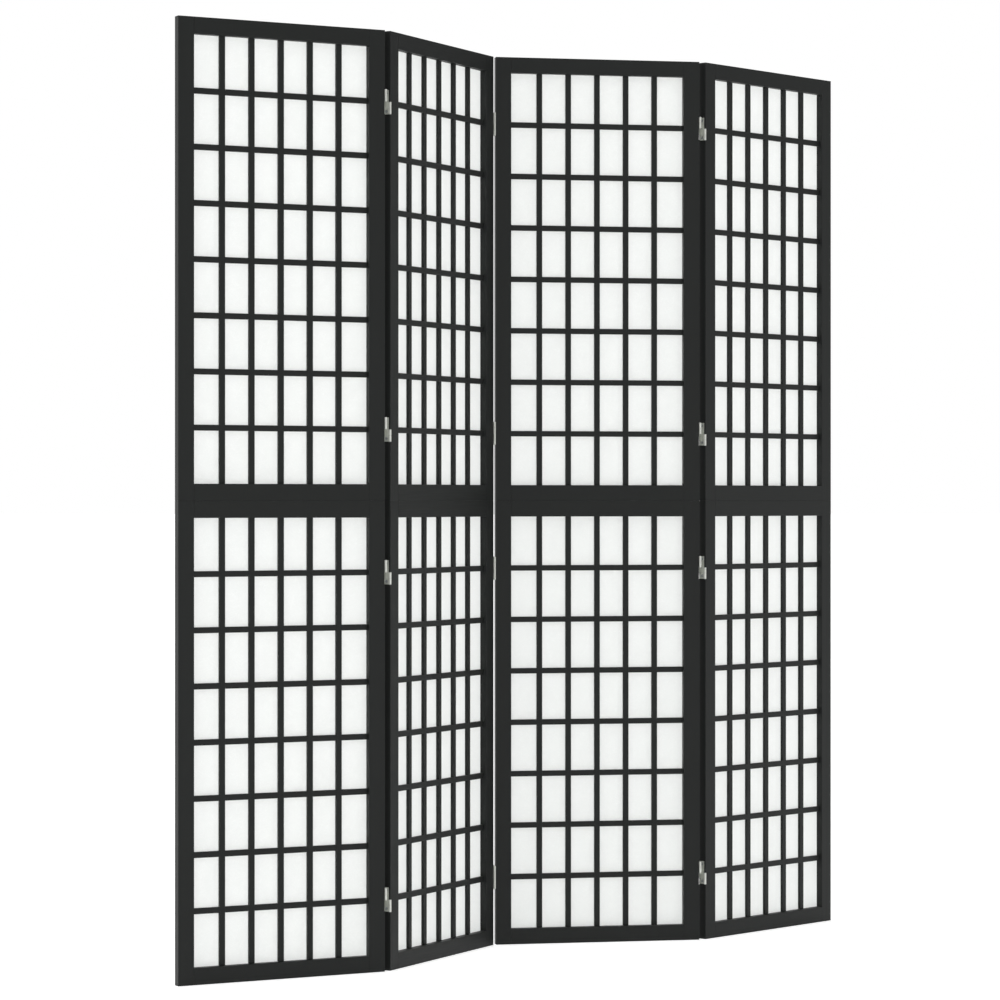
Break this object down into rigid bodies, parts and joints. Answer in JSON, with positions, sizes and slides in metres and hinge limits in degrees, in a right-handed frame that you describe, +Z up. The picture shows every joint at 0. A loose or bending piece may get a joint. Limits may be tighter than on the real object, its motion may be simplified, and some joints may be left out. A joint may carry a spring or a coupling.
{
  "type": "shoji folding screen",
  "caption": "Free-standing folding room divider of tall black lacquered lattice panels backed with white paper, standing in a zig-zag on pinned steel hinges.",
  "frame": {"origin": "on the floor, in the middle of the footprint of the screen as it stands", "axes": "+Z up along the stiles; +X from the left panel's outer corner to the right panel's, seen from the lattice side; -Y towards the viewer on the lattice side"},
  "size_m": [1.544, 0.2018, 1.7003],
  "materials": {
    "black_lacquer": "satin lacquer",
    "shoji_paper": "matte, lets light through",
    "hinge_steel": "satin"
  },
  "bodies": {
    "panel_1": {"panel_1_lower_left_stile": "black_lacquer", "panel_1_lower_right_stile": "black_lacquer", "panel_1_lower_rails_and_lattice": "black_lacquer", "panel_1_lower_paper": "shoji_paper", "panel_1_upper_left_stile": "black_lacquer", "panel_1_upper_right_stile": "black_lacquer", "panel_1_upper_rails_and_lattice": "black_lacquer", "panel_1_upper_paper": "shoji_paper", "fold_1_hinge_1_left": "hinge_steel", "fold_1_hinge_2_left": "hinge_steel", "fold_1_hinge_3_left": "hinge_steel", "fold_1_hinge_4_left": "hinge_steel"},
    "panel_2": {"panel_2_lower_left_stile": "black_lacquer", "panel_2_lower_right_stile": "black_lacquer", "panel_2_lower_rails_and_lattice": "black_lacquer", "panel_2_lower_paper": "shoji_paper", "panel_2_upper_left_stile": "black_lacquer", "panel_2_upper_right_stile": "black_lacquer", "panel_2_upper_rails_and_lattice": "black_lacquer", "panel_2_upper_paper": "shoji_paper", "fold_1_hinge_1_right": "hinge_steel", "fold_1_hinge_2_right": "hinge_steel", "fold_1_hinge_3_right": "hinge_steel", "fold_1_hinge_4_right": "hinge_steel", "fold_2_hinge_1_left": "hinge_steel", "fold_2_hinge_2_left": "hinge_steel", "fold_2_hinge_3_left": "hinge_steel", "fold_2_hinge_4_left": "hinge_steel"},
    "panel_3": {"panel_3_lower_left_stile": "black_lacquer", "panel_3_lower_right_stile": "black_lacquer", "panel_3_lower_rails_and_lattice": "black_lacquer", "panel_3_lower_paper": "shoji_paper", "panel_3_upper_left_stile": "black_lacquer", "panel_3_upper_right_stile": "black_lacquer", "panel_3_upper_rails_and_lattice": "black_lacquer", "panel_3_upper_paper": "shoji_paper", "fold_2_hinge_1_right": "hinge_steel", "fold_2_hinge_2_right": "hinge_steel", "fold_2_hinge_3_right": "hinge_steel", "fold_2_hinge_4_right": "hinge_steel", "fold_3_hinge_1_left": "hinge_steel", "fold_3_hinge_2_left": "hinge_steel", "fold_3_hinge_3_left": "hinge_steel", "fold_3_hinge_4_left": "hinge_steel"},
    "panel_4": {"panel_4_lower_left_stile": "black_lacquer", "panel_4_lower_right_stile": "black_lacquer", "panel_4_lower_rails_and_lattice": "black_lacquer", "panel_4_lower_paper": "shoji_paper", "panel_4_upper_left_stile": "black_lacquer", "panel_4_upper_right_stile": "black_lacquer", "panel_4_upper_rails_and_lattice": "black_lacquer", "panel_4_upper_paper": "shoji_paper", "fold_3_hinge_1_right": "hinge_steel", "fold_3_hinge_2_right": "hinge_steel", "fold_3_hinge_3_right": "hinge_steel", "fold_3_hinge_4_right": "hinge_steel"}
  },
  "joints": [
    {"name": "fold_1", "type": "hinge", "parent": "panel_2", "child": "panel_1", "pos_m": [-0.37206, -0.07479, 0], "axis": [0, 0, 1], "range_deg": [-143.3, 34.7]},
    {"name": "fold_2", "type": "hinge", "parent": "panel_2", "child": "panel_3", "pos_m": [0.00169, 0.08224, 0], "axis": [0, 0, 1], "range_deg": [-126.4, 51.6]},
    {"name": "fold_3", "type": "hinge", "parent": "panel_3", "child": "panel_4", "pos_m": [0.37284, -0.08085, 0], "axis": [0, 0, 1], "range_deg": [-36.5, 141.5]}
  ]
}
